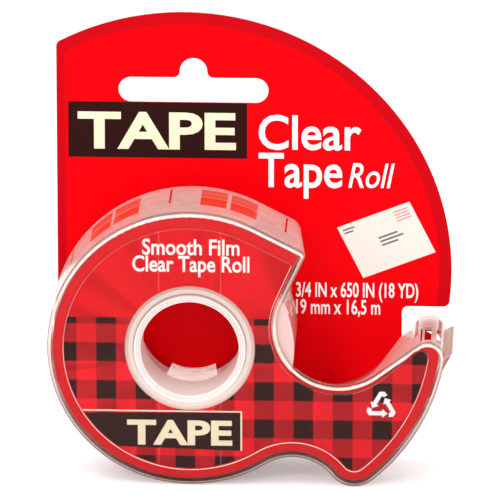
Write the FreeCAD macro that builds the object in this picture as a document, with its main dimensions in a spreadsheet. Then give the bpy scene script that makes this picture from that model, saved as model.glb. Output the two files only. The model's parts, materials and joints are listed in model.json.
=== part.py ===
import FreeCAD, Part
import math
import os
import re
import Sketcher

# A hand-held dispenser for clear tape: a snail-shaped clear case with a roll on its hub, a cutter at
# the end of its arm, a printed label behind its face, and the hang card that it is sold on.
# Lengths are millimetres. While it is built, X runs to the right, Y to the back and Z up, with the
# hub's axis along Y through the origin and the front face at Y = 0. place_in_part_frame then moves
# every sub-part so that the origin is at the bottom centre of the whole object.

SIZES = {
    # the case
    "rim_radius": 33.3,
    "rim_wall": 1.3,
    "face_wall": 1.2,
    "front_zone": 2.0,
    "front_round": 1.1,
    # the lip over the U notch: the rim runs off straight at this angle from the X axis
    "lip_angle": 63.0,
    "lip_reach": 13.6,
    "lip_round": 1.4,
    "lip_inner_round": 0.6,
    "lip_reach_back": 12.5,
    "lip_round_back": 3.3,
    # the U notch; heights are above the line that the case stands on
    "roll_show": 3.9,
    "notch_shoulder": 2.6,
    "notch_height": 38.9,
    "notch_flare": 3.0,
    "notch_back_shift": 3.4,
    "notch_drop": 3.6,
    # the arm
    "arm_reach": 59.9,
    "flank_radius": 48.0,
    "flank_height": 38.35,
    "tip_round": 4.0,
    "tip_height": 31.7,
    "tip_round_back": 5.4,
    "tip_height_back": 26.8,
    "lobe_round": 6.8,
    "grip_round": 11.5,
    # the raised border of the face
    "border_width": 3.9,
    "border_width_notch": 2.0,
    "border_corner": 0.5,
    "border_height": 0.35,
    "border_soft": 0.2,
    # the landing block behind the cutter
    "landing_wall": 1.0,
    "landing_slot_depth": 3.0,
    "thin_slot_place": 1.6,
    "thin_slot_width": 0.45,
    "mid_slot_place": 0.1,
    "mid_slot_width": 1.6,
    "edge_slot_place": 2.45,
    "edge_slot_width": 1.0,
    "slot_front": 2.7,
    "slot_length": 9.5,
    # the cutter
    "blade_thickness": 0.4,
    "blade_width": 2.7,
    "blade_tilt": 32.0,
    "blade_end_gap": 0.3,
    "tooth_count": 12.0,
    "tooth_height": 0.8,
    "blade_foot_x": 0.9,
    "blade_foot_height": 31.6,
    "holder_drop": 5.0,
    # hub, core and roll
    "core_bore_radius": 12.7,
    "hub_clearance": 0.08,
    "hub_wall": 1.2,
    "hub_length": 11.5,
    "hub_front_round": 1.0,
    "core_wall": 2.5,
    "tape_width": 19.0,
    "roll_radius": 24.3,
    "roll_clearance": 1.0,
    "roll_front_room": 0.4,
    "roll_back_room": 0.9,
    # latch finger
    "latch_root_gap": 0.15,
    "latch_half_width": 5.1,
    "latch_root_half_width": 5.9,
    "latch_hook": 0.85,
    "latch_hook_length": 0.5,
    "latch_end_play": 0.15,
    # folded end of the tape
    "tab_angle": 24.0,
    "tab_span": 7.0,
    "tab_thickness": 0.35,
    # label film
    "label_thickness": 0.12,
    "label_gap": 0.15,
    # hang card
    "card_thickness": 0.45,
    "glue_thickness": 0.25,
    "glue_radius": 1.6,
    "glue_angle_top": 110.0,
    "glue_angle_side": 200.0,
    "glue_angle_low": 270.0,
    "glue_angle_arm": -30.0,
    "card_over_arm": 0.6,
    "card_centre_x": 2.0,
    "card_centre_z": 13.0,
    "card_side_inset": 1.3,
    "card_step_back": 6.5,
    "card_step_rise": 6.0,
    "card_inset": 0.4,
    "card_corner": 1.5,
    "hang_slot_height": 56.7,
    "hang_slot_length": 35.0,
    "hang_slot_width": 6.0,
    "hang_hump_radius": 3.2,
    "hang_hump_top": 64.4,
    "hang_hump_soft": 1.5,
}

SHEET = "Sizes"
FRONT_PLANE = "XZ_Plane"
TOP_PLANE = "XY_Plane"

doc = FreeCAD.newDocument("TapeDispenser")


def fill_sheet():
    """Write every driving size into its own named cell."""
    sheet = doc.addObject("Spreadsheet::Sheet", SHEET)
    for row, (alias, number) in enumerate(SIZES.items(), start=1):
        sheet.set(f"A{row}", alias)
        sheet.set(f"B{row}", str(number))
        sheet.setAlias(f"B{row}", alias)
    doc.recompute()
    return sheet


sizes = fill_sheet()


def with_sheet(formula):
    """The formula as other objects write it, with the sheet's name before each cell's."""
    return re.sub(r"\b[a-z_]+\b", lambda word: f"{SHEET}.{word.group()}" if word.group() in SIZES
                  else word.group(), formula)


def value(formula):
    """The number that a formula of the sheet's cells gives now."""
    return float(sizes.evalExpression(formula))


def bind(item, prop, formula):
    item.setExpression(prop, with_sheet(formula))


# ---------------------------------------------------------------- sketches

def new_body(label):
    body = doc.addObject("PartDesign::Body", label)
    body.Label = label
    return body


def new_sketch(body, name, plane, offset="0"):
    """A sketch on one of the body's own planes, moved along that plane's normal by the offset."""
    sketch = body.newObject("Sketcher::SketchObject", name)
    for feature in body.Origin.OriginFeatures:
        if feature.Role == plane:
            sketch.AttachmentSupport = [(feature, "")]
    sketch.MapMode = "FlatFace"
    bind(sketch, "AttachmentOffset.Base.z", offset)
    return sketch


def front_sketch(body, name, depth="0"):
    """A sketch parallel to the face, at a depth behind it; the plane's normal points forward."""
    return new_sketch(body, name, FRONT_PLANE, f"-({depth})")


def name_and_bind(sketch, constraint, name, formula):
    index = sketch.addConstraint(constraint)
    sketch.renameConstraint(index, name)
    bind(sketch, f"Constraints.{name}", formula)


def fix_radius(sketch, curve, name, formula):
    name_and_bind(sketch, Sketcher.Constraint("Radius", curve, value(formula)), name, formula)


def fix_point(sketch, curve, vertex, name, x=None, z=None):
    """Tie a point of a curve to distances from the sketch's origin."""
    for axis, formula in (("X", x), ("Y", z)):
        if formula is not None:
            distance = Sketcher.Constraint("Distance" + axis, -1, 1, curve, vertex, value(formula))
            name_and_bind(sketch, distance, f"{name}_{axis}", formula)


def add_circle(sketch, name, radius, x="0", z="0"):
    centre = FreeCAD.Vector(value(x), value(z), 0)
    curve = sketch.addGeometry(Part.Circle(centre, FreeCAD.Vector(0, 0, 1), value(radius)))
    fix_radius(sketch, curve, f"{name}_radius", radius)
    fix_point(sketch, curve, 3, f"{name}_centre", x, z)


def add_polygon(sketch, name, corners):
    """A closed polygon whose corners are pairs of formulas."""
    points = [FreeCAD.Vector(value(x), value(z), 0) for x, z in corners]
    lines = []
    for index, point in enumerate(points):
        following = points[(index + 1) % len(points)]
        lines.append(sketch.addGeometry(Part.LineSegment(point, following)))
    for index, line in enumerate(lines):
        following = lines[(index + 1) % len(lines)]
        sketch.addConstraint(Sketcher.Constraint("Coincident", line, 2, following, 1))
        fix_point(sketch, line, 1, f"{name}_{index}", *corners[index])


# ---------------------------------------------------------------- depths that pieces share

ROLL_START = "(face_wall + roll_front_room)"
CORE_END = f"({ROLL_START} + tape_width)"
BODY_DEPTH = f"({CORE_END} + roll_back_room)"
CARD_FRONT = f"({BODY_DEPTH} + glue_thickness)"


# ---------------------------------------------------------------- the cutter strip's place

TILT = "(blade_tilt * 1 deg)"
FOOT_X = "(arm_reach - blade_foot_x)"
FOOT_Z = "(blade_foot_height - rim_radius)"
STRIP_WIDTH = "(blade_width - tooth_height)"
STRIP_END_X = f"({FOOT_X} + {STRIP_WIDTH} * cos{TILT})"
STRIP_END_Z = f"({FOOT_Z} + {STRIP_WIDTH} * sin{TILT})"
BLADE_LENGTH = f"({BODY_DEPTH} - 2 * blade_end_gap)"
TOOTH_PITCH = f"({BLADE_LENGTH} / tooth_count)"


# ---------------------------------------------------------------- the snail outline
# The outline is a belt round seven circles, taken clockwise as seen from the front. A circle with
# side 1 bulges out of the outline and one with side -1 bulges into it. Neighbours meet in a tangent
# line, or touch each other where there is no room for one.

LOBE_Z = "(lobe_round - rim_radius)"
FLANK_X = "(arm_reach - flank_radius)"
FLANK_Z = "(flank_height - rim_radius)"
TIP_Z = "(tip_height - rim_radius)"
TIP_X = f"({FLANK_X} + sqrt((flank_radius - tip_round)^2 - ({TIP_Z} - {FLANK_Z})^2))"
NOTCH_LEFT = "(roll_radius - roll_show)"
NOTCH_RADIUS = f"(({TIP_X} - tip_round - {NOTCH_LEFT} - notch_shoulder) / 2)"
NOTCH_X = f"({NOTCH_LEFT} + {NOTCH_RADIUS})"
NOTCH_Z = "(notch_height - rim_radius)"

FRONT_END = {
    "notch": (NOTCH_X, NOTCH_Z, NOTCH_RADIUS),
    "tip": (TIP_Z, "tip_round"),
    "lip_reach": "lip_reach",
}
BACK_END = {
    "notch": (f"({NOTCH_X} - notch_back_shift)", f"({NOTCH_Z} - notch_drop)",
              f"({NOTCH_RADIUS} + notch_flare)"),
    "tip": ("(tip_height_back - rim_radius)", "tip_round_back"),
    "lip_reach": "lip_reach_back",
}


def lip_formulas(end, inset, side_inset, lip_round):
    """The lip's circle lies along the straight that leaves the rim at the lip's angle."""
    out = f"(rim_radius - {inset} - {lip_round})"
    along = f"({end['lip_reach']} - {side_inset} - {lip_round})"
    turn = "(lip_angle * 1 deg)"
    x = f"{out} * cos{turn} + {along} * sin{turn}"
    z = f"{out} * sin{turn} - {along} * cos{turn}"
    return x, z


def belt_formulas(end, inset, side_inset, lip_round):
    """Name, side, radius and centre of each circle; a centre coordinate of None follows by touching."""
    notch_x, notch_z, notch_radius = end["notch"]
    tip_z, tip_round = end["tip"]
    lip_x, lip_z = lip_formulas(end, inset, side_inset, lip_round)
    return [
        ("rim", 1, f"rim_radius - {inset}", "0", "0"),
        ("lip", 1, lip_round, lip_x, lip_z),
        ("notch", -1, f"{notch_radius} + {side_inset}", notch_x, notch_z),
        ("tip", 1, f"{tip_round} - {side_inset}", None, tip_z),
        ("flank", 1, f"flank_radius - {inset}", FLANK_X, FLANK_Z),
        ("lobe", 1, f"lobe_round - {inset}", None, LOBE_Z),
        ("grip", -1, f"grip_round + {inset}", None, None),
    ]


def touch_inside(outer, radius, z):
    """X of a circle at height z that touches the right side of a larger circle from inside."""
    outer_x, outer_z, outer_radius = outer
    return outer_x + math.sqrt((outer_radius - radius) ** 2 - (z - outer_z) ** 2)


def touch_both(first, second, radius):
    """Centre of a circle below two others that touches both from outside."""
    span = math.hypot(second[0] - first[0], second[1] - first[1])
    to_first = first[2] + radius
    to_second = second[2] + radius
    along = (to_first ** 2 - to_second ** 2 + span ** 2) / (2 * span)
    across = math.sqrt(to_first ** 2 - along ** 2)
    ux = (second[0] - first[0]) / span
    uz = (second[1] - first[1]) / span
    return first[0] + along * ux + across * uz, first[1] + along * uz - across * ux


def solve_belt(formulas):
    """Numbers for the belt's circles: x, z, radius and side of each."""
    known = {}
    for name, side, radius, x, z in formulas:
        if x is not None:
            known[name] = (value(x), value(z), value(radius))
    for name, side, radius, x, z in formulas:
        if x is None and z is not None:
            height = value(z)
            known[name] = (touch_inside(known["flank"], value(radius), height), height, value(radius))
    grip_radius = value(formulas[-1][2])
    known["grip"] = touch_both(known["rim"], known["lobe"], grip_radius) + (grip_radius,)
    return [known[name] + (side,) for name, side, radius, x, z in formulas]


def joint_points(first, second):
    """Where the belt leaves the first circle and where it reaches the second."""
    dx = second[0] - first[0]
    dz = second[1] - first[1]
    span = math.hypot(dx, dz)
    ratio = (first[3] * first[2] - second[3] * second[2]) / span
    turn = math.atan2(dz, dx) + math.acos(max(-1.0, min(1.0, ratio)))
    leave = on_circle(first, turn)
    reach = on_circle(second, turn)
    return leave, reach


def on_circle(circle, turn):
    x, z, radius, side = circle
    return FreeCAD.Vector(x + side * radius * math.cos(turn), z + side * radius * math.sin(turn), 0)


def angle_on(circle, point):
    return math.atan2(point.y - circle[1], point.x - circle[0])


def add_belt(sketch, formulas):
    """Draw the belt and tie each of its circles to the sheet."""
    same_point = 1e-4
    circles = solve_belt(formulas)
    joints = [joint_points(circle, circles[(index + 1) % len(circles)])
              for index, circle in enumerate(circles)]
    chain = []
    for index, circle in enumerate(circles):
        name, side, radius, x, z = formulas[index]
        arriving = angle_on(circle, joints[index - 1][1])
        leaving = angle_on(circle, joints[index][0])
        ring = Part.Circle(FreeCAD.Vector(circle[0], circle[1], 0), FreeCAD.Vector(0, 0, 1), circle[2])
        first, last = (leaving, arriving) if side > 0 else (arriving, leaving)
        curve = sketch.addGeometry(Part.ArcOfCircle(ring, first, last))
        chain.append((curve, 2, 1) if side > 0 else (curve, 1, 2))
        fix_radius(sketch, curve, f"{name}_radius", radius)
        fix_point(sketch, curve, 3, name, x, z)
        leave, reach = joints[index]
        if leave.distanceToPoint(reach) > same_point:
            chain.append((sketch.addGeometry(Part.LineSegment(leave, reach)), 1, 2))
    for index, (curve, enter, exit_end) in enumerate(chain):
        following, next_enter, next_exit = chain[(index + 1) % len(chain)]
        sketch.addConstraint(Sketcher.Constraint("Tangent", curve, exit_end, following, next_enter))


def belt_sketch(body, name, depth, end, inset="0", side_inset=None, lip_round="lip_round"):
    sketch = front_sketch(body, name, depth)
    add_belt(sketch, belt_formulas(end, inset, side_inset or inset, lip_round))
    return sketch


# ---------------------------------------------------------------- features

def add_feature(body, kind, name, profile):
    feature = body.newObject(f"PartDesign::{kind}", name)
    feature.Profile = profile
    return feature


def pad_back(body, name, profile, length):
    """Raise material from a front sketch towards the back."""
    pad = add_feature(body, "Pad", name, profile)
    pad.Reversed = True
    bind(pad, "Length", length)
    doc.recompute()
    return pad


def pocket(body, name, profile, length, reverse):
    """Cut, and stop if the cut takes nothing away."""
    before = body.Shape.Volume
    cut = add_feature(body, "Pocket", name, profile)
    cut.Reversed = reverse
    bind(cut, "Length", length)
    doc.recompute()
    if not body.Shape.Volume < before:
        raise ValueError(f"{name} cuts nothing")
    return cut


def pocket_back(body, name, profile, length):
    return pocket(body, name, profile, length, reverse=False)


def loft(body, kind, name, first, last):
    feature = add_feature(body, kind, name, first)
    feature.Sections = [last]
    feature.Ruled = True
    doc.recompute()
    return feature


def fillet(body, name, edge_test, radius):
    """Round the edges of the body's shape that pass the test."""
    base = body.Tip
    edges = [f"Edge{index}" for index, edge in enumerate(base.Shape.Edges, start=1) if edge_test(edge)]
    if not edges:
        raise ValueError(f"{name} finds no edge")
    round_over = body.newObject("PartDesign::Fillet", name)
    round_over.Base = (base, edges)
    bind(round_over, "Radius", radius)
    doc.recompute()
    return round_over


def lies_at_depth(edge, depth):
    """True for an edge that lies wholly at a depth behind the face."""
    tolerance = 1e-4
    return abs(edge.BoundBox.YMin - depth) < tolerance and abs(edge.BoundBox.YMax - depth) < tolerance


def runs_back_near(edge, x, z, tolerance):
    """True for a straight edge along Y that passes close to a point of the face's plane."""
    box = edge.BoundBox
    straight = box.XLength < 1e-4 and box.ZLength < 1e-4
    return straight and math.hypot(box.XMin - x, box.ZMin - z) < tolerance


def ring_sketch(body, name, depth, *radii):
    sketch = front_sketch(body, name, depth)
    for index, radius in enumerate(radii):
        add_circle(sketch, f"ring_{index}", radius)
    return sketch


# ---------------------------------------------------------------- dispenser_body

HUB_RADIUS = "(core_bore_radius - hub_clearance)"
HUB_BORE = f"({HUB_RADIUS} - hub_wall)"


def add_case(body):
    """A straight front zone with a rounded edge, then walls that lean as the notch opens out."""
    pad_back(body, "FrontZone", belt_sketch(body, "FrontOutline", "0", FRONT_END), "front_zone")
    fillet(body, "FrontRound", lambda edge: lies_at_depth(edge, 0), "front_round")
    front = belt_sketch(body, "WallFront", "front_zone", FRONT_END)
    back = belt_sketch(body, "WallBack", BODY_DEPTH, BACK_END, lip_round="lip_round_back")
    loft(body, "AdditiveLoft", "Case", front, back)


def add_landing(body):
    """The arched landing block keeps the front tip's height all the way to the back."""
    sketch = front_sketch(body, "LandingOutline", "front_round")
    add_circle(sketch, "arch", "tip_round", TIP_X, TIP_Z)
    pad_back(body, "Landing", sketch, f"{BODY_DEPTH} - front_round")


def add_blade_holder(body):
    """A wedge outside the flank that carries the cutter."""
    root_x = "(arm_reach - tip_round / 2)"
    sketch = front_sketch(body, "HolderOutline", "front_round / 2")
    add_polygon(sketch, "holder", [
        (root_x, FOOT_Z),
        (FOOT_X, FOOT_Z),
        (STRIP_END_X, STRIP_END_Z),
        (STRIP_END_X, f"{STRIP_END_Z} - blade_thickness"),
        (f"{FLANK_X} + sqrt((flank_radius - rim_wall / 2)^2 - ({FOOT_Z} - holder_drop - {FLANK_Z})^2)",
         f"{FOOT_Z} - holder_drop"),
        (root_x, f"{FOOT_Z} - holder_drop / 2"),
    ])
    pad_back(body, "BladeHolder", sketch, f"{BODY_DEPTH} - front_round / 2")


def cut_blade_seat(body):
    """The foot of the cutter strip sits in a shallow slot in the landing block."""
    over_x = f"blade_thickness * sin{TILT}"
    over_z = f"blade_thickness * cos{TILT}"
    sketch = front_sketch(body, "BladeSeatOutline", "blade_end_gap")
    add_polygon(sketch, "seat", [
        (FOOT_X, FOOT_Z),
        (STRIP_END_X, STRIP_END_Z),
        (f"{STRIP_END_X} - {over_x}", f"{STRIP_END_Z} + {over_z}"),
        (f"{FOOT_X} - {over_x}", f"{FOOT_Z} + {over_z}"),
    ])
    pocket_back(body, "BladeSeat", sketch, BLADE_LENGTH)


def hollow_case(body):
    front = belt_sketch(body, "CavityFront", "face_wall", FRONT_END, "rim_wall",
                        lip_round="lip_inner_round")
    back = belt_sketch(body, "CavityBack", BODY_DEPTH, BACK_END, "rim_wall",
                       lip_round="(lip_round_back - rim_wall)")
    before = body.Shape.Volume
    loft(body, "SubtractiveLoft", "Cavity", front, back)
    if not body.Shape.Volume < before:
        raise ValueError("the cavity cuts nothing")
    arch = front_sketch(body, "ArchHollow", BODY_DEPTH)
    add_circle(arch, "hollow", "tip_round - landing_wall", TIP_X, TIP_Z)
    pocket(body, "Arch", arch, f"{BODY_DEPTH} - face_wall", reverse=True)
    room = ring_sketch(body, "RollRoomOutline", BODY_DEPTH, "roll_radius + roll_clearance")
    pocket(body, "RollRoom", room, f"{BODY_DEPTH} - face_wall", reverse=True)


def add_hub(body):
    pad_back(body, "Hub", ring_sketch(body, "HubOutline", "face_wall / 2", HUB_RADIUS),
             "hub_length - face_wall / 2")
    pocket_back(body, "HubBore", ring_sketch(body, "HubBoreOutline", "0", HUB_BORE), "hub_length")


def sink_face(body):
    """The label's field is a little lower than the border round it."""
    field = belt_sketch(body, "FieldOutline", "0", FRONT_END, "border_width", "border_width_notch",
                        "border_corner")
    pocket_back(body, "Field", field, "border_height")
    field_depth = value("border_height")
    hub_reach = value(HUB_BORE) + value("border_width") / 2

    def is_bore_edge(edge):
        inside = edge.BoundBox.XMax < hub_reach and edge.BoundBox.XMin > -hub_reach
        return lies_at_depth(edge, field_depth) and inside

    fillet(body, "BoreRound", is_bore_edge, "hub_front_round - border_height")
    rim_edge = value("front_round") + value("border_corner")

    def is_border_edge(edge):
        reach = value("rim_radius") - rim_edge
        return lies_at_depth(edge, 0) and edge.BoundBox.XMin > -reach

    fillet(body, "BorderRound", is_border_edge, "border_soft")


def cut_landing_slots(body):
    slots = new_sketch(body, "LandingSlotOutline", TOP_PLANE, f"{TIP_Z} + tip_round")
    back_end = "slot_front + slot_length"
    rows = [
        ("thin", f"{TIP_X} - thin_slot_place", "thin_slot_width"),
        ("mid", f"{TIP_X} - mid_slot_place", "mid_slot_width"),
        ("edge", f"{TIP_X} + edge_slot_place", "edge_slot_width"),
    ]
    for name, place, width in rows:
        left = f"{place} - {width} / 2"
        right = f"{place} + {width} / 2"
        add_polygon(slots, name, [(left, "slot_front"), (right, "slot_front"),
                                  (right, back_end), (left, back_end)])
    pocket(body, "LandingSlots", slots, "landing_slot_depth", reverse=False)


def make_dispenser_body():
    body = new_body("dispenser_body")
    add_case(body)
    add_landing(body)
    add_blade_holder(body)
    cut_blade_seat(body)
    hollow_case(body)
    add_hub(body)
    sink_face(body)
    cut_landing_slots(body)
    return body


# ---------------------------------------------------------------- core_latch

def finger_sketch(body, name, depth, inner, outer, half_width):
    """A slice of a ring below the hub's axis, with upright sides."""
    sketch = front_sketch(body, name, depth)
    edge = value(half_width)
    arcs = []
    for radius in (inner, outer):
        size = value(radius)
        side = math.acos(edge / size)
        ring = Part.Circle(FreeCAD.Vector(0, 0, 0), FreeCAD.Vector(0, 0, 1), size)
        arcs.append(sketch.addGeometry(Part.ArcOfCircle(ring, math.pi + side, 2 * math.pi - side)))
    depths = [-math.sqrt(value(radius) ** 2 - edge ** 2) for radius in (inner, outer)]
    for index, x in enumerate((-edge, edge), start=1):
        line = sketch.addGeometry(Part.LineSegment(FreeCAD.Vector(x, depths[0], 0),
                                                   FreeCAD.Vector(x, depths[1], 0)))
        sketch.addConstraint(Sketcher.Constraint("Coincident", line, 1, arcs[0], index))
        sketch.addConstraint(Sketcher.Constraint("Coincident", line, 2, arcs[1], index))
        sketch.addConstraint(Sketcher.Constraint("Vertical", line))
        fix_point(sketch, line, 1, f"side_{index}", x=half_width if x > 0 else f"-({half_width})")
    for arc, radius, name_of_arc in zip(arcs, (inner, outer), ("inner", "outer")):
        sketch.addConstraint(Sketcher.Constraint("Coincident", arc, 3, -1, 1))
        fix_radius(sketch, arc, f"{name_of_arc}_radius", radius)
    return sketch


HOOK_START = f"({CORE_END} + latch_end_play)"
LATCH_END = f"({HOOK_START} + latch_hook_length)"


def make_core_latch():
    body = new_body("core_latch")
    root = finger_sketch(body, "FingerRoot", "hub_length + latch_root_gap", HUB_BORE, HUB_RADIUS,
                         "latch_root_half_width")
    end = finger_sketch(body, "FingerEnd", LATCH_END, HUB_BORE, HUB_RADIUS, "latch_half_width")
    loft(body, "AdditiveLoft", "Finger", root, end)
    hook = finger_sketch(body, "HookOutline", HOOK_START, HUB_BORE, f"{HUB_RADIUS} + latch_hook",
                         "latch_half_width")
    pad_back(body, "Hook", hook, "latch_hook_length")
    return body


# ---------------------------------------------------------------- cutter_blade

def make_cutter_blade():
    """A toothed strip, drawn flat along Y and then tilted up over its holder."""
    body = new_body("cutter_blade")
    strip = new_sketch(body, "StripOutline", TOP_PLANE)
    add_polygon(strip, "strip", [("0", "0"), (STRIP_WIDTH, "0"), (STRIP_WIDTH, BLADE_LENGTH),
                                 ("0", BLADE_LENGTH)])
    plate = add_feature(body, "Pad", "Strip", strip)
    bind(plate, "Length", "blade_thickness")
    tooth = new_sketch(body, "ToothOutline", TOP_PLANE)
    add_polygon(tooth, "tooth", [(STRIP_WIDTH, "0"), ("blade_width", f"{TOOTH_PITCH} / 2"),
                                 (STRIP_WIDTH, TOOTH_PITCH)])
    first_tooth = add_feature(body, "Pad", "Tooth", tooth)
    bind(first_tooth, "Length", "blade_thickness")
    doc.recompute()
    row = body.newObject("PartDesign::LinearPattern", "Teeth")
    row.Originals = [first_tooth]
    row.Direction = (tooth, ["V_Axis"])
    bind(row, "Length", f"{BLADE_LENGTH} - {TOOTH_PITCH}")
    bind(row, "Occurrences", "tooth_count")
    body.Tip = row
    body.Placement.Rotation = FreeCAD.Rotation(FreeCAD.Vector(0, -1, 0), value("blade_tilt"))
    bind(body, "Placement.Rotation.Angle", TILT)
    bind(body, "Placement.Base.x", FOOT_X)
    bind(body, "Placement.Base.y", "blade_end_gap")
    bind(body, "Placement.Base.z", FOOT_Z)
    doc.recompute()
    return body


# ---------------------------------------------------------------- roll_core, tape_roll, tape_end_tab

CORE_RADIUS = "(core_bore_radius + core_wall)"


def make_ring(label, bore, radius):
    body = new_body(label)
    profile = ring_sketch(body, f"{label}_outline", ROLL_START, bore, radius)
    pad_back(body, f"{label}_ring", profile, "tape_width")
    return body


def make_tape_end_tab():
    """The end of the tape, folded back on itself for a finger to lift."""
    body = new_body("tape_end_tab")
    sketch = front_sketch(body, "TabOutline", ROLL_START)
    middle = math.radians(value("tab_angle"))
    half = math.radians(value("tab_span")) / 2
    arcs = []
    for radius in ("roll_radius", "roll_radius + tab_thickness"):
        ring = Part.Circle(FreeCAD.Vector(0, 0, 0), FreeCAD.Vector(0, 0, 1), value(radius))
        arcs.append(sketch.addGeometry(Part.ArcOfCircle(ring, middle - half, middle + half)))
    for index, turn in enumerate((middle - half, middle + half), start=1):
        ends = [FreeCAD.Vector(value(radius) * math.cos(turn), value(radius) * math.sin(turn), 0)
                for radius in ("roll_radius", "roll_radius + tab_thickness")]
        line = sketch.addGeometry(Part.LineSegment(*ends))
        sketch.addConstraint(Sketcher.Constraint("Coincident", line, 1, arcs[0], index))
        sketch.addConstraint(Sketcher.Constraint("Coincident", line, 2, arcs[1], index))
        sign = -1 if index == 1 else 1
        edge_turn = f"((tab_angle + {sign} * tab_span / 2) * 1 deg)"
        fix_point(sketch, line, 1, f"edge_{index}", x=f"roll_radius * cos{edge_turn}")
        fix_point(sketch, line, 2, f"top_{index}", x=f"(roll_radius + tab_thickness) * cos{edge_turn}")
    for arc, radius, name in zip(arcs, ("roll_radius", "roll_radius + tab_thickness"),
                                 ("under", "over")):
        sketch.addConstraint(Sketcher.Constraint("Coincident", arc, 3, -1, 1))
        fix_radius(sketch, arc, f"{name}_radius", radius)
    pad_back(body, "Tab", sketch, "tape_width")
    return body


# ---------------------------------------------------------------- face_label

def make_face_label():
    body = new_body("face_label")
    inset = "(rim_wall + label_gap)"
    outline = belt_sketch(body, "LabelOutline", "face_wall", FRONT_END, inset,
                          lip_round="lip_inner_round")
    pad_back(body, "Film", outline, "label_thickness")
    pocket_back(body, "CoreHole", ring_sketch(body, "CoreHoleOutline", "face_wall", CORE_RADIUS),
                "label_thickness")
    return body


# ---------------------------------------------------------------- hang_card and its glue

CARD_RADIUS = "(arm_reach + card_over_arm + card_centre_x)"
CARD_LEFT = "(rim_radius - card_side_inset)"
CARD_STEP_X = f"({TIP_X} - card_step_back)"
CARD_STEP_Z = f"({TIP_Z} + card_step_rise)"
def add_card_panel(body):
    """A round-topped panel: a disc, less all that is outside its straight edges."""
    disc = front_sketch(body, "CardDisc", CARD_FRONT)
    add_circle(disc, "disc", CARD_RADIUS, "-card_centre_x", "card_centre_z")
    pad_back(body, "Panel", disc, "card_thickness")
    far = f"(3 * {CARD_RADIUS})"
    trim = front_sketch(body, "CardTrim", CARD_FRONT)
    add_polygon(trim, "outside", [(f"-{far}", f"-{far}"), (far, f"-{far}"), (far, far),
                                  (f"-{far}", far)])
    low = "(-rim_radius + notch_height / 3)"
    add_polygon(trim, "inside", [
        (f"-{CARD_LEFT}", "0"),
        (f"-{CARD_LEFT}", f"2 * {CARD_RADIUS}"),
        (f"2 * {CARD_RADIUS}", f"2 * {CARD_RADIUS}"),
        (f"2 * {CARD_RADIUS}", CARD_STEP_Z),
        (CARD_STEP_X, CARD_STEP_Z),
        (CARD_STEP_X, f"{TIP_Z} - tip_round"),
        (f"{TIP_X} - 2 * tip_round", low),
        ("0", low),
    ])
    pocket_back(body, "CardEdges", trim, "card_thickness")


def add_card_backing(body):
    """Behind the case, the card stays inside the case's own back outline."""
    backing = belt_sketch(body, "CardBacking", CARD_FRONT, BACK_END, "card_inset",
                          lip_round="(lip_round_back - card_inset)")
    pad_back(body, "Backing", backing, "card_thickness")


def cut_hang_slot(body):
    half = "(hang_slot_length / 2 - hang_slot_width / 2)"
    low = "hang_slot_height - hang_slot_width / 2"
    high = "hang_slot_height + hang_slot_width / 2"
    bar = front_sketch(body, "HangSlotBar", CARD_FRONT)
    add_polygon(bar, "bar", [(f"-{half}", low), (half, low), (half, high), (f"-{half}", high)])
    pocket_back(body, "SlotBar", bar, "card_thickness")
    for side in (-1, 1):
        name = "Left" if side < 0 else "Right"
        end = front_sketch(body, f"HangSlot{name}", CARD_FRONT)
        add_circle(end, "end", "hang_slot_width / 2", f"{side} * {half}", "hang_slot_height")
        pocket_back(body, f"Slot{name}", end, "card_thickness")
    hump = front_sketch(body, "HangSlotHump", CARD_FRONT)
    add_circle(hump, "hump", "hang_hump_radius", "0", "hang_hump_top - hang_hump_radius")
    pocket_back(body, "SlotHump", hump, "card_thickness")
    top = value(high)
    reach = value("hang_hump_radius")
    fillet(body, "HumpRound", lambda edge: runs_back_near(edge, math.copysign(
        math.sqrt(reach ** 2 - (value("hang_hump_top") - reach - top) ** 2), edge.BoundBox.XMin),
        top, value("card_thickness")), "hang_hump_soft")


def round_card_corners(body):
    centre_x = -value("card_centre_x")
    centre_z = value("card_centre_z")
    radius = value(CARD_RADIUS)
    left = -value(CARD_LEFT)
    step_x = value(CARD_STEP_X)
    step_z = value(CARD_STEP_Z)
    corners = [
        (left, centre_z + math.sqrt(radius ** 2 - (left - centre_x) ** 2)),
        (centre_x + math.sqrt(radius ** 2 - (step_z - centre_z) ** 2), step_z),
        (step_x, step_z),
    ]
    near = value("card_thickness")
    fillet(body, "CardCorners",
           lambda edge: any(runs_back_near(edge, x, z, near) for x, z in corners), "card_corner")


def make_hang_card():
    body = new_body("hang_card")
    add_card_panel(body)
    add_card_backing(body)
    cut_hang_slot(body)
    round_card_corners(body)
    return body


def make_card_glue_spots():
    """Flat dabs under the card's edge, on the back of the rim and of the arm's flank."""
    rim_line = "(rim_radius - card_inset - glue_radius)"
    flank_line = "(flank_radius - card_inset - glue_radius)"
    spots = []
    for turn in ("glue_angle_top", "glue_angle_side", "glue_angle_low"):
        spots.append((f"{rim_line} * cos({turn} * 1 deg)", f"{rim_line} * sin({turn} * 1 deg)"))
    arm_turn = "(glue_angle_arm * 1 deg)"
    spots.append((f"{FLANK_X} + {flank_line} * cos{arm_turn}",
                  f"{FLANK_Z} + {flank_line} * sin{arm_turn}"))
    dabs = []
    for index, (x, z) in enumerate(spots, start=1):
        dab = doc.addObject("Part::Cylinder", f"glue_dab_{index}")
        bind(dab, "Radius", "glue_radius")
        bind(dab, "Height", "glue_thickness")
        dab.Placement.Rotation = FreeCAD.Rotation(FreeCAD.Vector(1, 0, 0), -90)
        bind(dab, "Placement.Base.x", x)
        bind(dab, "Placement.Base.y", BODY_DEPTH)
        bind(dab, "Placement.Base.z", z)
        dabs.append(dab)
    group = doc.addObject("Part::Compound", "card_glue_spots")
    group.Label = "card_glue_spots"
    group.Links = dabs
    doc.recompute()
    return group


# ---------------------------------------------------------------- checks and files

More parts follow.
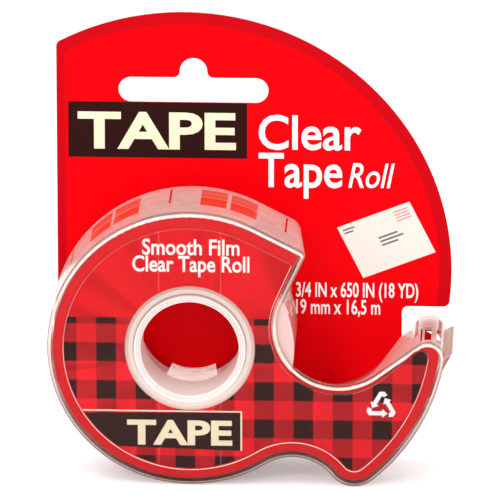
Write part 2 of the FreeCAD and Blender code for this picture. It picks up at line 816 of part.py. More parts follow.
def check_document():
    for item in doc.Objects:
        if any(state in ("Invalid", "Error") for state in item.State):
            raise ValueError(f"{item.Name} failed: {item.State}")


def check_shape(part):
    if part.Shape.isNull() or not part.Shape.isValid() or not part.Shape.Solids:
        raise ValueError(f"{part.Label} has no valid solid")


def place_in_part_frame(parts):
    """Move the origin to the bottom centre of all the sub-parts together."""
    box = FreeCAD.BoundBox()
    for part in parts:
        box.add(part.Shape.optimalBoundingBox())
    shift = FreeCAD.Vector(-box.Center.x, -box.Center.y, -box.ZMin)
    for part in parts:
        for prop, formula in part.ExpressionEngine:
            part.setExpression(prop, None)
        part.Placement = FreeCAD.Placement(shift, FreeCAD.Rotation()) * part.Placement
    doc.recompute()
    return shift, box


def main():
    parts = [
        make_dispenser_body(),
        make_core_latch(),
        make_cutter_blade(),
        make_ring("roll_core", "core_bore_radius", CORE_RADIUS),
        make_ring("tape_roll", CORE_RADIUS, "roll_radius"),
        make_tape_end_tab(),
        make_face_label(),
        make_hang_card(),
        make_card_glue_spots(),
    ]
    doc.recompute()
    check_document()
    for part in parts:
        check_shape(part)
    shift, box = place_in_part_frame(parts)
    print("hub axis at", [round(number, 3) for number in shift])
    print("size", [round(length, 3) for length in (box.XLength, box.YLength, box.ZLength)])
    os.makedirs("parts", exist_ok=True)
    for part in parts:
        check_shape(part)
        part.Shape.exportStep(os.path.join("parts", f"{part.Label}.step"))
        print(part.Label, len(part.Shape.Solids), "solid(s)", round(part.Shape.Volume, 1), "mm3")


main()
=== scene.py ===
import json
import math

import bmesh
import bpy
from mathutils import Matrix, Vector
from mathutils.geometry import tessellate_polygon


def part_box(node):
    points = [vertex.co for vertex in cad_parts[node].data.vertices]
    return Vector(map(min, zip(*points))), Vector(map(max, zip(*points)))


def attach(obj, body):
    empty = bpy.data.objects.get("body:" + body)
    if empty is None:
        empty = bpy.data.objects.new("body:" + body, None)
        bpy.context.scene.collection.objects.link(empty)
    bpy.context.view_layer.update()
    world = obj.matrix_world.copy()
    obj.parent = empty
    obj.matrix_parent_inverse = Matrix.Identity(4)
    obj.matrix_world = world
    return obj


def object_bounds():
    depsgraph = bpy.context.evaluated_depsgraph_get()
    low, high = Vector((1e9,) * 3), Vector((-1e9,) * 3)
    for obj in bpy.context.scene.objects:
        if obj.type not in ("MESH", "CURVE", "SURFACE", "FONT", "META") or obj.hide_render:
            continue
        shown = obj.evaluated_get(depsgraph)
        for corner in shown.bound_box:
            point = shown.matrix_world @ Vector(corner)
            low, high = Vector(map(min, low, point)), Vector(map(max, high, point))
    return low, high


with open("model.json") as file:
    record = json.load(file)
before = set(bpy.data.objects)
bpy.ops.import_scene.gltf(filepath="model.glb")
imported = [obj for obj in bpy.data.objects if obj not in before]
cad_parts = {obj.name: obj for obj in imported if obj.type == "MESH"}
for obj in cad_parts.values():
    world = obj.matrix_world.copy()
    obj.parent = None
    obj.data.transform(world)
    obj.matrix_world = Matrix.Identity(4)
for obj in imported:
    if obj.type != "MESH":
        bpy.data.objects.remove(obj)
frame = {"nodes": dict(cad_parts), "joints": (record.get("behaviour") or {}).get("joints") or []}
CAD_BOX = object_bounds()

MM = 0.001
NODES = frame["nodes"]


# ---------------------------------------------------------------- places taken from the frame

def joint_named(name):
    return next(joint for joint in frame["joints"] if joint["name"] == name)


HUB = Vector(joint_named("roll_spin")["pos_m"])
FACE_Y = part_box("dispenser_body")[0].y
LABEL_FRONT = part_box("face_label")[0].y
CARD_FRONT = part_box("hang_card")[0].y
CARD_CENTRE = HUB + Vector((-2.0 * MM, 0, 13.0 * MM))
CARD_REACH = 62.5 * MM
CARD_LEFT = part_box("hang_card")[0].x
FIELD_DEPTH = 0.35 * MM
TOOTH_COUNT = 12
RIM_PITCH = 48.7
RIM_FIRST_WINDOW = 45.0


def on_card(x, z):
    """A place on the card's front, given in millimetres from the hub's axis."""
    return Vector((HUB.x + x * MM, CARD_FRONT, HUB.z + z * MM))


def on_label(x, z):
    """A place on the label's front, given in millimetres from the hub's axis."""
    return Vector((HUB.x + x * MM, LABEL_FRONT, HUB.z + z * MM))


# ---------------------------------------------------------------- material helpers

def srgb(red, green, blue):
    """The linear colour of a display colour given from 0 to 255."""
    def linear(channel):
        part = channel / 255
        return part / 12.92 if part <= 0.04045 else ((part + 0.055) / 1.055) ** 2.4
    return linear(red), linear(green), linear(blue), 1.0


class Nodes:
    """A short way to write a node tree."""

    def __init__(self, name):
        self.material = bpy.data.materials.new(name)
        self.material.use_nodes = True
        self.tree = self.material.node_tree
        self.tree.nodes.clear()
        self.output = self.tree.nodes.new("ShaderNodeOutputMaterial")

    def add(self, kind, **settings):
        node = self.tree.nodes.new(kind)
        for name, setting in settings.items():
            setattr(node, name, setting)
        return node

    def link(self, source, target):
        self.tree.links.new(source, target)

    def feed(self, socket, source):
        """Link a socket, or set it if the source is a number or colour."""
        if isinstance(source, bpy.types.NodeSocket):
            self.link(source, socket)
        else:
            socket.default_value = source

    def position(self):
        """Separate coordinates in metres, on a mesh whose object sits at the origin."""
        place = self.add("ShaderNodeTexCoord")
        parts = self.add("ShaderNodeSeparateXYZ")
        self.link(place.outputs["Object"], parts.inputs[0])
        return parts.outputs[0], parts.outputs[1], parts.outputs[2]

    def math(self, operation, *values, clamp=False):
        node = self.add("ShaderNodeMath", operation=operation, use_clamp=clamp)
        for socket, source in zip(node.inputs, values):
            self.feed(socket, source)
        return node.outputs[0]

    def above(self, source, limit):
        return self.math("GREATER_THAN", source, limit)

    def between(self, source, low, high):
        return self.math("MULTIPLY", self.above(source, low), self.math("LESS_THAN", source, high))

    def distance(self, across, up):
        """The length of the sides of a right angle put together."""
        return self.math("SQRT", self.math("ADD", self.math("MULTIPLY", across, across),
                                           self.math("MULTIPLY", up, up)))

    def mix(self, factor, first, second):
        node = self.add("ShaderNodeMix", data_type="RGBA")
        self.feed(node.inputs["Factor"], factor)
        self.feed(node.inputs["A"], first)
        self.feed(node.inputs["B"], second)
        return node.outputs["Result"]

    def noise(self, scale, detail=3.0, stretch=None):
        place = self.add("ShaderNodeTexCoord")
        node = self.add("ShaderNodeTexNoise")
        node.inputs["Scale"].default_value = scale
        node.inputs["Detail"].default_value = detail
        source = place.outputs["Object"]
        if stretch:
            mapping = self.add("ShaderNodeMapping")
            mapping.inputs["Scale"].default_value = stretch
            self.link(source, mapping.inputs[0])
            source = mapping.outputs[0]
        self.link(source, node.inputs["Vector"])
        return node.outputs["Fac"]

    def bump(self, height, distance):
        node = self.add("ShaderNodeBump")
        node.inputs["Distance"].default_value = distance
        self.link(height, node.inputs["Height"])
        return node.outputs["Normal"]

    def principled(self, colour, roughness, normal=None, **settings):
        node = self.add("ShaderNodeBsdfPrincipled")
        self.feed(node.inputs["Base Color"], colour)
        self.feed(node.inputs["Roughness"], roughness)
        if normal:
            self.link(normal, node.inputs["Normal"])
        for name, setting in settings.items():
            self.feed(node.inputs[name.replace("_", " ")], setting)
        return node

    def blend_shaders(self, factor, first, second):
        """The first shader where the factor is 0 and the second where it is 1."""
        node = self.add("ShaderNodeMixShader")
        self.feed(node.inputs[0], factor)
        self.link(first.outputs[0], node.inputs[1])
        self.link(second.outputs[0], node.inputs[2])
        return node

    def finish(self, shader):
        self.link(shader.outputs[0], self.output.inputs["Surface"])
        return self.material


def dress(obj, material):
    """Give a whole object one material."""
    obj.data.materials.clear()
    obj.data.materials.append(material)
    if obj.type == "MESH":
        for face in obj.data.polygons:
            face.material_index = 0


def vary(nodes, colour, other, scale):
    """The colour with a faint, uneven drift towards another."""
    return nodes.mix(nodes.noise(scale), colour, other)


# ---------------------------------------------------------------- plain moulded and metal materials

def facing_curve(nodes, blend, power):
    """From 0 where a surface faces the viewer to 1 where it is seen edge on."""
    weight = nodes.add("ShaderNodeLayerWeight")
    weight.inputs["Blend"].default_value = blend
    return nodes.math("POWER", weight.outputs["Facing"], power)


def see_through(nodes, milky, amount, ripple, glint=0.0, dulled=1.0):
    """A clear wall: light passes, the surface shines, and some of it is milky. Lamps reach behind it."""
    clear = nodes.add("ShaderNodeBsdfTransparent")
    clear.inputs["Color"].default_value = (1.0, 0.985, 0.98, 1.0)
    shine = nodes.add("ShaderNodeBsdfGlossy")
    shine.inputs["Roughness"].default_value = 0.07
    nodes.link(ripple, shine.inputs["Normal"])
    fresnel = nodes.add("ShaderNodeFresnel")
    fresnel.inputs["IOR"].default_value = 1.22
    mirror = nodes.math("MULTIPLY", fresnel.outputs[0], dulled)
    mirror = nodes.math("MULTIPLY_ADD", glint, 0.1, mirror, clamp=True)
    wall = nodes.blend_shaders(mirror, clear, shine)
    surface = nodes.blend_shaders(amount, wall, milky)
    path = nodes.add("ShaderNodeLightPath")
    lamps_pass = nodes.math("MULTIPLY", path.outputs["Is Shadow Ray"], 0.9)
    return nodes.blend_shaders(lamps_pass, surface, clear)


def rim_texture(nodes):
    """Where the rim's wall is frosted, and where it has pairs of clear windows and a red tick."""
    x, y, z = nodes.position()
    across = nodes.math("SUBTRACT", x, HUB.x)
    up = nodes.math("SUBTRACT", z, HUB.z)
    turn = nodes.math("MULTIPLY", nodes.math("ARCTAN2", across, up), 180 / math.pi)
    phase = nodes.math("FLOORED_MODULO", nodes.math("ADD", turn, RIM_FIRST_WINDOW), RIM_PITCH)
    depth = nodes.math("SUBTRACT", y, FACE_Y)
    first = nodes.between(phase, 0.0, 10.7)
    second = nodes.between(phase, 12.3, 23.5)
    deep = nodes.between(depth, 7.2 * MM, 19.0 * MM)
    fold = nodes.between(depth, 13.4 * MM, 13.8 * MM)
    window = nodes.math("MULTIPLY", nodes.math("MAXIMUM", first, second), deep)
    window = nodes.math("MULTIPLY", window, nodes.math("SUBTRACT", 1.0, fold))
    outside = nodes.above(nodes.distance(across, up), 31.0 * MM)
    upper = nodes.above(up, -8.0 * MM)
    zone = nodes.math("MULTIPLY", outside, upper)
    frost = nodes.math("MULTIPLY", nodes.math("SUBTRACT", 1.0, window), zone)
    behind_front = nodes.above(depth, 1.5 * MM)
    frost = nodes.math("MULTIPLY", frost, behind_front)
    tick = nodes.math("MULTIPLY", nodes.between(phase, 35.9, 36.7),
                      nodes.between(depth, 9.0 * MM, 20.0 * MM))
    return frost, nodes.math("MULTIPLY", window, zone), nodes.math("MULTIPLY", tick, zone)


def case_plastic():
    """Polished clear moulding: frosted rim, milky hub, a painted highlight as a white line at the border,
    painted shade on the lower edges, a painted dark outline where walls are seen edge on, and windows
    painted with the red of the lit card behind.
    """
    nodes = Nodes("clear_plastic")
    ripple = nodes.bump(nodes.noise(180.0, 2.0), 0.00004)
    frost, window, tick = rim_texture(nodes)
    x, y, z = nodes.position()
    depth = nodes.math("SUBTRACT", y, FACE_Y)
    from_hub = nodes.distance(nodes.math("SUBTRACT", x, HUB.x), nodes.math("SUBTRACT", z, HUB.z))
    normal = nodes.add("ShaderNodeSeparateXYZ")
    nodes.link(nodes.add("ShaderNodeNewGeometry").outputs["Normal"], normal.inputs[0])
    hub = nodes.math("LESS_THAN", from_hub, 13.0 * MM)
    facing_down_shade = nodes.math("MULTIPLY", normal.outputs[2], -1.0, clamp=True)
    facing_down_shade = nodes.math("MULTIPLY", facing_down_shade, nodes.math("SUBTRACT", 1.0, hub))
    not_down = nodes.math("SUBTRACT", 1.0, nodes.math("MULTIPLY", facing_down_shade, 2.0, clamp=True))
    # painted highlight: a pale white line along the border step and the front of the outer round
    step_highlight = nodes.math("MULTIPLY", nodes.between(depth, 0.02 * MM, 0.33 * MM), not_down)
    cloud = nodes.noise(240.0, 4.0)
    milk = nodes.mix(cloud, srgb(250, 206, 196), srgb(255, 232, 224))
    milk = nodes.mix(hub, milk, nodes.mix(cloud, srgb(255, 252, 250), srgb(250, 234, 228)))
    # painted shade: surfaces that face down are darkened to brown
    milk = nodes.mix(nodes.math("POWER", facing_down_shade, 0.6), milk, srgb(104, 60, 54))
    plain_wall = nodes.math("SUBTRACT", 1.0, nodes.math("MAXIMUM", hub, frost))
    # painted shade: a dark brown outline where the wall is seen edge on
    edge_on_shade = nodes.math("MULTIPLY", facing_curve(nodes, 0.5, 3.0), plain_wall)
    milk = nodes.mix(nodes.math("MULTIPLY", edge_on_shade, 0.9), milk, srgb(112, 84, 76))
    wire = nodes.math("MAXIMUM", nodes.between(from_hub, 11.9 * MM, 12.05 * MM),
                      nodes.between(from_hub, 12.4 * MM, 12.52 * MM))
    milk = nodes.mix(nodes.math("MULTIPLY", wire, 0.5), milk, srgb(128, 112, 104))
    # painted light: the windows are painted the bright red of the lit card behind them
    milk = nodes.mix(window, milk, srgb(250, 78, 58))
    milk = nodes.mix(tick, milk, srgb(190, 30, 34))
    closed = nodes.math("MULTIPLY_ADD", window, -0.75, 1.0)
    shares = [
        nodes.math("MULTIPLY", nodes.math("MULTIPLY", facing_curve(nodes, 0.3, 2.2), 0.4), closed),
        nodes.math("MULTIPLY", edge_on_shade, 0.55),
        nodes.math("MULTIPLY", facing_down_shade, 0.5),
        nodes.math("MULTIPLY", frost, nodes.math("MULTIPLY_ADD", cloud, 0.2, 0.3)),
        nodes.math("MULTIPLY", step_highlight, 0.9),
        nodes.math("MULTIPLY", window, 0.4),
        nodes.math("MULTIPLY", tick, 0.5),
        nodes.math("MULTIPLY", hub, 0.68),
    ]
    amount = 0.006
    for share in shares:
        amount = nodes.math("ADD", share, amount, clamp=True)
    milky = nodes.principled(milk, 0.2, ripple)
    forward = nodes.math("ABSOLUTE", normal.outputs[1])
    rounded = nodes.math("MULTIPLY", nodes.between(depth, 0.01 * MM, 1.1 * MM),
                         nodes.math("LESS_THAN", forward, 0.985))
    glint = nodes.math("MULTIPLY", rounded, not_down)
    return nodes.finish(see_through(nodes, milky, amount, ripple, glint, closed))


def latch_plastic():
    """The finger is milky like the hub with a painted glow, and its hook has painted reflection as dark
    streaks on the bright milk.
    """
    nodes = Nodes("latch_plastic")
    x, y, z = nodes.position()
    hook = nodes.above(y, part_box("core_latch")[1].y - 3.4 * MM)
    streak = nodes.noise(620.0, 2.0, stretch=(0.35, 1.6, 1.6))
    dark = nodes.math("MULTIPLY", nodes.math("LESS_THAN", streak, 0.43), hook)
    milk = nodes.mix(nodes.noise(700.0), srgb(255, 252, 250), srgb(238, 222, 216))
    # painted reflection: dark streaks on the hook
    milk = nodes.mix(nodes.math("MULTIPLY", dark, 0.85), milk, srgb(22, 26, 22))
    ripple = nodes.bump(streak, 0.0003)
    amount = nodes.math("MULTIPLY_ADD", hook, 0.25, 0.62)
    # painted glow: an emission on the milky latch, which is no lamp
    milky = nodes.principled(milk, 0.1, ripple, Emission_Color=(1, 0.98, 0.96, 1), Emission_Strength=0.3)
    return nodes.finish(see_through(nodes, milky, amount, ripple))


def cutter_steel():
    """Thin stamped strip: rolled grain, a groove with painted shade below each gap between teeth, and
    darker tips.
    """
    nodes = Nodes("cutter_steel")
    x, y, z = nodes.position()
    low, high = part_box("cutter_blade")
    pitch = (high.y - low.y) / TOOTH_COUNT
    place = nodes.math("FLOORED_MODULO", nodes.math("SUBTRACT", y, low.y), pitch)
    groove_and_shade = nodes.math("SUBTRACT", 1.0, nodes.between(place, 0.16 * pitch, 0.84 * pitch))
    tip = nodes.above(x, high.x - 0.8 * MM)
    grain = nodes.noise(2500.0, 4.0, stretch=(1.0, 0.06, 1.0))
    colour = nodes.mix(grain, srgb(228, 190, 180), srgb(255, 230, 222))
    # painted shade: each groove is darkened
    colour = nodes.mix(nodes.math("MULTIPLY", groove_and_shade, 0.55), colour, srgb(110, 76, 76))
    colour = nodes.mix(nodes.math("MULTIPLY", tip, 0.35), colour, srgb(120, 84, 84))
    roughness = nodes.math("MULTIPLY_ADD", grain, 0.2, 0.26)
    normal = nodes.bump(nodes.math("SUBTRACT", grain, groove_and_shade), 0.00003)
    return nodes.finish(nodes.principled(colour, roughness, normal, Metallic=0.6))


def core_plastic():
    """Pale ring, darker towards the top as painted shade, with a bright band as a painted highlight and a
    groove with painted shade round its end face.
    """
    nodes = Nodes("core_plastic")
    x, y, z = nodes.position()
    radius = nodes.distance(nodes.math("SUBTRACT", x, HUB.x), nodes.math("SUBTRACT", z, HUB.z))
    band = nodes.between(radius, 13.3 * MM, 14.3 * MM)
    groove_and_shade = nodes.between(radius, 13.05 * MM, 13.3 * MM)
    # painted shade: the ring is darker towards the top
    low = nodes.math("MULTIPLY_ADD", nodes.math("SUBTRACT", HUB.z, z), 1 / (30.0 * MM), 0.5, clamp=True)
    plain = nodes.mix(low, srgb(204, 178, 164), srgb(240, 222, 214))
    plain = nodes.mix(nodes.noise(260.0), plain, nodes.mix(0.25, plain, srgb(190, 160, 148)))
    # painted highlight: a bright band round the end face
    colour = nodes.mix(nodes.math("MULTIPLY", band, 0.6), plain, srgb(250, 240, 236))
    # painted shade: the groove round the end face is darkened
    colour = nodes.mix(nodes.math("MULTIPLY", groove_and_shade, 0.5), colour, srgb(170, 146, 138))
    normal = nodes.bump(nodes.math("SUBTRACT", nodes.noise(600.0), groove_and_shade), 0.00005)
    return nodes.finish(nodes.principled(colour, 0.28, normal))


def tape_film():
    """Wound film: fine rings on the sides of the roll and a glossy outer turn."""
    nodes = Nodes("tape_film")
    x, y, z = nodes.position()
    across = nodes.math("SUBTRACT", x, HUB.x)
    up = nodes.math("SUBTRACT", z, HUB.z)
    radius = nodes.distance(across, up)
    rings = nodes.add("ShaderNodeTexNoise", noise_dimensions="1D")
    rings.inputs["Scale"].default_value = 5000.0
    nodes.link(radius, rings.inputs["W"])
    colour = nodes.mix(rings.outputs["Fac"], srgb(212, 166, 158), srgb(240, 206, 198))
    normal = nodes.bump(rings.outputs["Fac"], 0.00003)
    return nodes.finish(nodes.principled(colour, 0.16, normal, Subsurface_Weight=0.3,
                                         Subsurface_Radius=(0.004, 0.002, 0.002), Coat_Weight=0.5))


def glue():
    nodes = Nodes("glue")
    colour = vary(nodes, srgb(240, 232, 214), srgb(222, 208, 180), 700.0)
    return nodes.finish(nodes.principled(colour, 0.35, nodes.bump(nodes.noise(1500.0), 0.0001)))


# ---------------------------------------------------------------- printed card and label

CARD_RED = srgb(240, 0, 12)
CARD_BAND_RED = srgb(196, 4, 18)
LABEL_RED = srgb(229, 18, 28)
LABEL_MARGIN_RED = srgb(206, 34, 40)
INK_DARK = srgb(44, 18, 16)
INK_CREAM = srgb(247, 236, 206)
PAPER_GREY = srgb(236, 228, 216)
CARD_BAND = 2.9 * MM


def card_board():
    """Red coated front with a darker band inside the cut edge, and a plain grey board back."""
    nodes = Nodes("card_board")
    x, y, z = nodes.position()
    across = nodes.math("SUBTRACT", x, CARD_CENTRE.x)
    up = nodes.math("SUBTRACT", z, CARD_CENTRE.z)
    reach = nodes.distance(across, up)
    near_arc = nodes.above(reach, CARD_REACH - CARD_BAND)
    near_left = nodes.math("LESS_THAN", x, CARD_LEFT + CARD_BAND)
    band = nodes.math("MAXIMUM", near_arc, near_left)
    drift = vary(nodes, CARD_RED, srgb(229, 0, 10), 60.0)
    printed = nodes.mix(band, drift, CARD_BAND_RED)
    behind = nodes.above(y, CARD_FRONT + 0.05 * MM)
    board = nodes.mix(nodes.noise(900.0, 6.0), PAPER_GREY, srgb(196, 192, 184))
    colour = nodes.mix(behind, printed, board)
    roughness = nodes.math("MULTIPLY_ADD", behind, 0.4, 0.42)
    normal = nodes.bump(nodes.noise(2200.0, 5.0), 0.00002)
    return nodes.finish(nodes.principled(colour, roughness, normal, Specular_IOR_Level=0.03))


CHECK = 4.6 * MM
CHECK_TOP = 7.4 * MM


def label_print():
    """Plain red above and a woven-look gingham check below."""
    nodes = Nodes("label_print")
    x, y, z = nodes.position()
    column = nodes.math("FLOORED_MODULO", nodes.math("SUBTRACT", x, HUB.x - 31.0 * MM), 2 * CHECK)
    row = nodes.math("FLOORED_MODULO", nodes.math("SUBTRACT", z, HUB.z - 31.0 * MM), 2 * CHECK)
    dark_column = nodes.math("LESS_THAN", column, CHECK)
    dark_row = nodes.math("LESS_THAN", row, CHECK)
    both = nodes.math("MULTIPLY", dark_column, dark_row)
    either = nodes.math("MAXIMUM", dark_column, dark_row)
    slant = nodes.math("FLOORED_MODULO", nodes.math("ADD", x, z), 0.8 * MM)
    hatch = nodes.math("LESS_THAN", slant, 0.38 * MM)
    half = nodes.mix(hatch, srgb(236, 28, 40), srgb(120, 26, 30))
    cloth = nodes.mix(either, srgb(244, 30, 44), half)
    cloth = nodes.mix(both, cloth, INK_DARK)
    lower = nodes.math("LESS_THAN", z, HUB.z + CHECK_TOP)
    printed = nodes.mix(lower, LABEL_RED, cloth)
    side = nodes.math("ABSOLUTE", nodes.math("SUBTRACT", x, HUB.x))
    crease = nodes.between(side, 7.1 * MM, 7.3 * MM)
    printed = nodes.mix(nodes.math("MULTIPLY", crease, 0.22), printed, srgb(255, 190, 180))
    normal = nodes.bump(nodes.noise(1800.0, 4.0), 0.00001)
    colour = nodes.mix(nodes.noise(80.0), printed, nodes.mix(0.06, printed, srgb(160, 0, 0)))
    return nodes.finish(nodes.principled(colour, 0.38, normal, Specular_IOR_Level=0.03))


def margin_print():
    """Solid red at the label's edge, a little darker towards the bottom as painted shade."""
    nodes = Nodes("margin_print")
    x, y, z = nodes.position()
    # painted shade: the margin is darker towards the bottom
    low = nodes.math("DIVIDE", nodes.math("SUBTRACT", HUB.z + 25.0 * MM, z), 60.0 * MM, clamp=True)
    colour = nodes.mix(low, srgb(226, 34, 38), srgb(198, 30, 34))
    colour = nodes.mix(nodes.noise(400.0), colour, srgb(206, 20, 28))
    return nodes.finish(nodes.principled(colour, 0.4, nodes.bump(nodes.noise(1800.0), 0.00001),
                                         Specular_IOR_Level=0.03))


def ink(name, colour, other):
    """Printing ink that drifts faintly between two colours."""
    nodes = Nodes(name)
    return nodes.finish(nodes.principled(vary(nodes, colour, other, 1200.0), 0.35,
                                         nodes.bump(nodes.noise(2500.0), 0.00001),
                                         Specular_IOR_Level=0.03))


# ---------------------------------------------------------------- printed pieces

INK_HEIGHT = 0.03 * MM


def new_object(name, data):
    """An object for some data, put in the scene at the origin."""
    obj = bpy.data.objects.new(name, data)
    bpy.context.scene.collection.objects.link(obj)
    return obj


def plate_mesh(name, loops, front):
    """A thin closed plate between an outer loop and its holes, given as places in X and Z."""
    points = [point for loop in loops for point in loop]
    flat = [[Vector((point.x, point.z, 0)) for point in loop] for loop in loops]
    triangles = [tuple(corner) for corner in tessellate_polygon(flat)]
    count = len(points)
    verts = [(point.x, front - INK_HEIGHT, point.z) for point in points]
    verts += [(point.x, front, point.z) for point in points]
    faces = list(triangles)
    faces += [tuple(corner + count for corner in reversed(triangle)) for triangle in triangles]
    start = 0
    for loop in loops:
        size = len(loop)
        for index in range(size):
            here, following = start + index, start + (index + 1) % size
            faces.append((here, following, following + count, here + count))
        start += size
    mesh = bpy.data.meshes.new(name)
    mesh.from_pydata(verts, [], faces)
    form = bmesh.new()
    form.from_mesh(mesh)
    bmesh.ops.recalc_face_normals(form, faces=form.faces[:])
    form.to_mesh(mesh)
    form.free()
    return mesh


def keep_printed(name, mesh, material):
    """Make a piece of a mesh, with a finish, on the case."""
    piece = new_object(name, mesh)
    dress(piece, material)
    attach(piece, "case")
    return piece


def plate(name, loops, front, material):
    """A printed area that stands just proud of the surface at depth front."""
    return keep_printed(name, plate_mesh(name, loops, front), material)


def words(name, text, place, size, width, material, bold, align="CENTER", lean=0.0):
    """A line of generic printed words, one ink's height proud, as a thin mesh of the given width."""
    curve = bpy.data.curves.new(name, "FONT")
    curve.body = text
    curve.size = size
    curve.offset = bold
    curve.shear = lean
    curve.extrude = INK_HEIGHT / 2
    curve.resolution_u = 4
    holder = new_object(f"{name}_curve", curve)
    bpy.context.view_layer.update()
    mesh = bpy.data.meshes.new_from_object(holder.evaluated_get(bpy.context.evaluated_depsgraph_get()))
    bpy.data.objects.remove(holder)
    mesh.name = name
    across = [vertex.co.x for vertex in mesh.vertices]
    squeeze = width / (max(across) - min(across))
    start = min(across) if align == "LEFT" else (max(across) + min(across)) / 2
    for vertex in mesh.vertices:
        x, z, depth = vertex.co
        vertex.co = (place.x + (x - start) * squeeze, place.y - 1.5 * INK_HEIGHT - depth, place.z + z)
    return keep_printed(name, mesh, material)


def outline(node, depth):
    """The longest closed edge of a node's flat faces that look forward at a depth."""
    mesh = node.data
    uses = {}
    for face in mesh.polygons:
        if face.normal.y > -0.99 or abs(face.center.y - depth) > 0.01 * MM:
            continue
        spots = [tuple(round(value, 7) for value in mesh.vertices[index].co) for index in face.vertices]
        for here, following in zip(spots, spots[1:] + spots[:1]):
            uses.setdefault(frozenset((here, following)), []).append((here, following))
    edges = dict(pairs[0] for pairs in uses.values() if len(pairs) == 1)
    loops = []
    while edges:
        spot = next(iter(edges))
        loop = []
        while spot in edges:
            loop.append(Vector(spot))
            spot = edges.pop(spot)
        loops.append(loop)
    return max(loops, key=lambda loop: max(point.x for point in loop) - min(point.x for point in loop))


# ---------------------------------------------------------------- camera, light, floor

CAMERA_TARGET = Vector((0.0001, -0.0111, 0.0579))
CAMERA_AZIMUTH = math.radians(2.4)
CAMERA_ELEVATION = math.radians(17.5)
CAMERA_DISTANCE = 1.8
ROOM_LIGHT = 0.72
ROOM_SEEN = 1.02


def make_camera():
    """A long lens a little to the right of the object and above it."""
    data = bpy.data.cameras.new("camera")
    data.sensor_width = 36.0
    data.lens = 559.6
    data.clip_start = 0.1
    data.clip_end = 20.0
    camera = new_object("camera", data)
    level = math.cos(CAMERA_ELEVATION)
    back = Vector((math.sin(CAMERA_AZIMUTH) * level, -math.cos(CAMERA_AZIMUTH) * level,
                   math.sin(CAMERA_ELEVATION)))
    camera.location = CAMERA_TARGET + back * CAMERA_DISTANCE
    camera.rotation_mode = "QUATERNION"
    camera.rotation_quaternion = (-back).to_track_quat("-Z", "Y")
    bpy.context.scene.camera = camera


def area_light(name, place, target, side, watts):
    """A square white lamp that faces the target."""
    data = bpy.data.lights.new(name, "AREA")
    data.size = side
    data.energy = watts
    lamp = new_object(name, data)
    lamp.location = place
    lamp.rotation_mode = "QUATERNION"
    lamp.rotation_quaternion = (Vector(target) - Vector(place)).to_track_quat("-Z", "Y")


def make_light():
    """Four soft lamps in a bright room, whose walls look white to the camera."""
    middle = (0, 0, 0.05)
    area_light("key_light", (-0.55, -0.85, 0.8), middle, 0.35, 3.6)
    area_light("fill_light", (0.8, -0.9, 0.5), middle, 0.5, 2.6)
    area_light("top_light", (0.0, -0.1, 1.4), middle, 1.2, 5.0)
    area_light("edge_light", (-0.42, -0.32, 1.0), middle, 0.22, 1.6)
    world = bpy.data.worlds.new("soft_room")
    world.use_nodes = True
    background = world.node_tree.nodes["Background"]
    background.inputs["Color"].default_value = (1, 1, 1, 1)
    path = world.node_tree.nodes.new("ShaderNodeLightPath")
    level = world.node_tree.nodes.new("ShaderNodeMath")
    level.operation = "MULTIPLY_ADD"
    level.inputs[1].default_value = ROOM_SEEN - ROOM_LIGHT
    level.inputs[2].default_value = ROOM_LIGHT
    world.node_tree.links.new(path.outputs["Is Camera Ray"], level.inputs[0])
    world.node_tree.links.new(level.outputs[0], background.inputs["Strength"])
    bpy.context.scene.world = world
    bpy.context.scene.view_settings.view_transform = "Standard"


def make_floor():
    """A plain pale floor just below the object."""
    bpy.ops.mesh.primitive_plane_add(size=6, location=(0, 0, CAD_BOX[0].z - 0.01 * MM))
    floor = bpy.context.object
    floor.name = "floor"
    nodes = Nodes("pale_floor")
    pale = vary(nodes, srgb(252, 252, 252), srgb(248, 248, 248), 3.0)
    dress(floor, nodes.finish(nodes.principled(pale, 0.8, Specular_IOR_Level=0.1,
                                               Emission_Color=(1, 1, 1, 1), Emission_Strength=0.22)))


# ---------------------------------------------------------------- assembly

def dress_nodes():
    """Give each CAD piece its finish."""
    finishes = {
        "dispenser_body": case_plastic(),
        "core_latch": latch_plastic(),
        "cutter_blade": cutter_steel(),
        "roll_core": core_plastic(),
        "tape_roll": tape_film(),
        "tape_end_tab": tape_film(),
        "face_label": label_print(),
        "hang_card": card_board(),
        "card_glue_spots": glue(),
    }
    for name, material in finishes.items():
        dress(NODES[name], material)


def print_card():
    """The card's dark block, words, sizes and envelope, placed in millimetres from the hub's axis."""
    dark = ink("dark_ink", INK_DARK, srgb(46, 20, 18))
    cream = ink("cream_ink", INK_CREAM, srgb(238, 224, 192))
    white = ink("white_ink", srgb(255, 255, 255), srgb(250, 248, 246))
    paper = ink("envelope_paper", srgb(242, 232, 222), srgb(228, 218, 208))
    pink = ink("stamp_ink", srgb(238, 150, 158), srgb(226, 120, 130))
    grey = ink("address_ink", srgb(120, 120, 128), srgb(90, 90, 98))
    block = [on_card(-29.3, 40.1), on_card(12.5, 40.1), on_card(12.5, 53.6), on_card(-29.3, 53.6)]
    plate("card_dark_block", [block], CARD_FRONT, dark)
    lettering = [
        ("card_word_tape", "TAPE", (-8.6, 42.5), 12.2, 37.0, cream, 0.35, "CENTER", 0.0),
        ("card_word_clear", "Clear", (15.2, 42.6), 11.8, 24.0, white, 0.16, "LEFT", 0.0),
        ("card_word_tape_two", "Tape", (15.2, 33.4), 11.8, 19.6, white, 0.16, "LEFT", 0.0),
        ("card_word_roll", "Roll", (36.2, 33.4), 8.6, 10.8, white, 0.05, "LEFT", 0.25),
        ("card_size_inches", "3/4 IN x 650 IN (18 YD)", (24.0, 6.5), 5.0, 28.7, white, 0.08, "LEFT", 0.0),
        ("card_size_metric", "19 mm x 16,5 m", (24.0, 2.3), 5.0, 19.8, white, 0.08, "LEFT", 0.0),
    ]
    for name, text, (x, z), size, width, material, bold, align, lean in lettering:
        words(name, text, on_card(x, z), size * MM, width * MM, material, bold * MM, align,
              lean)
    print_envelope(paper, grey, pink)


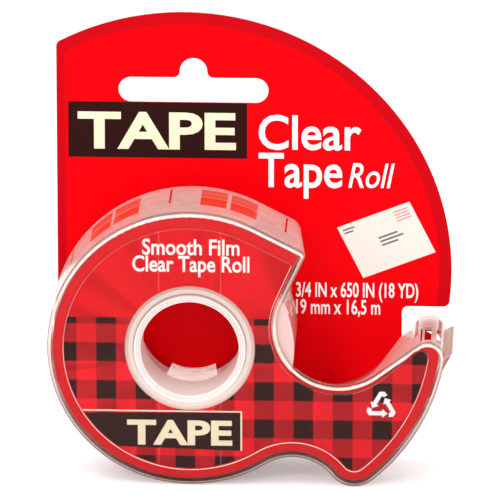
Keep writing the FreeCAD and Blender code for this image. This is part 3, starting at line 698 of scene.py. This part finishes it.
def print_envelope(paper, grey, pink):
    """A tilted envelope with lines of address, sender and postmark, as shares of its two sides."""
    corner, right, up = on_card(39.8, 11.2), Vector((16.9, 0, 6.6)) * MM, Vector((-6.2, 0, 12.3)) * MM

    def quad(left, low, wide, tall):
        start = corner + right * left + up * low
        return [start, start + right * wide, start + right * wide + up * tall, start + up * tall]

    plate("card_envelope", [quad(0, 0, 1, 1)], CARD_FRONT, paper)
    top = CARD_FRONT - INK_HEIGHT
    for index, (left, low, wide) in enumerate([(0.42, 0.56, 0.26), (0.42, 0.49, 0.32), (0.42, 0.42, 0.22)]):
        plate(f"card_address_{index}", [quad(left, low, wide, 0.03)], top, grey)
    for index, (left, low, wide) in enumerate([(0.05, 0.9, 0.16), (0.05, 0.84, 0.12)]):
        plate(f"card_sender_{index}", [quad(left, low, wide, 0.025)], top, grey)
    for index in range(4):
        plate(f"card_postmark_{index}", [quad(0.74, 0.74 + 0.055 * index, 0.2, 0.02)], top, pink)


def recycling_arm(turn):
    """One of the three bent arrows of the open triangle that says a piece can be recycled."""
    shape = [(-2.9, -2.2), (-3.5, -1.2), (-3.1, -0.2), (-2.2, -0.7), (-2.4, -1.2), (0.2, -1.2), (0.2, -0.6),
             (1.4, -1.7), (0.2, -2.8), (0.2, -2.2)]
    middle = on_label(44.7, -13.6)
    cos, sin = math.cos(turn), math.sin(turn)
    return [middle + Vector((x * cos - z * sin, 0, x * sin + z * cos)) * MM for x, z in shape]


def print_label():
    """The label's margin, dark band with its cream rules, words and recycling arrows."""
    white = bpy.data.materials["white_ink"]
    cream = bpy.data.materials["cream_ink"]
    dark = bpy.data.materials["dark_ink"]
    edge = outline(NODES["face_label"], LABEL_FRONT)
    field = outline(NODES["dispenser_body"], FACE_Y + FIELD_DEPTH)
    plate("label_margin", [edge, field], LABEL_FRONT, margin_print())
    low, high = HUB.z - 25.0 * MM, HUB.z - 15.6 * MM
    curve = [point for point in field if low < point.z < high and point.x < HUB.x]
    curve.sort(key=lambda point: point.z)
    band = curve + [on_label(11.8, -15.6), on_label(11.8, -25.0)]
    plate("label_dark_band", [band], LABEL_FRONT, dark)
    for index, (x, z, wide, tall) in enumerate([(-25.5, -15.6, 37.3, 0.35), (11.8, -25.0, 0.4, 9.75)]):
        strip = [on_label(x, z), on_label(x + wide, z), on_label(x + wide, z + tall), on_label(x, z + tall)]
        plate(f"label_rule_{index}", [strip], LABEL_FRONT, cream)
    lettering = [
        ("label_word_upper", "Smooth Film", (0.3, 22.9), 5.4, 22.6, white, 0.1),
        ("label_word_lower", "Clear Tape Roll", (0.3, 18.8), 5.4, 27.2, white, 0.1),
        ("label_word_tape", "TAPE", (-2.4, -23.5), 8.2, 24.6, cream, 0.28),
    ]
    for name, text, (x, z), size, width, material, bold in lettering:
        words(name, text, on_label(x, z), size * MM, width * MM, material, bold * MM)
    for index in range(3):
        plate(f"label_recycling_{index}", [recycling_arm(index * math.tau / 3)], LABEL_FRONT, white)


dress_nodes()
print_card()
print_label()
make_floor()
make_light()
make_camera()
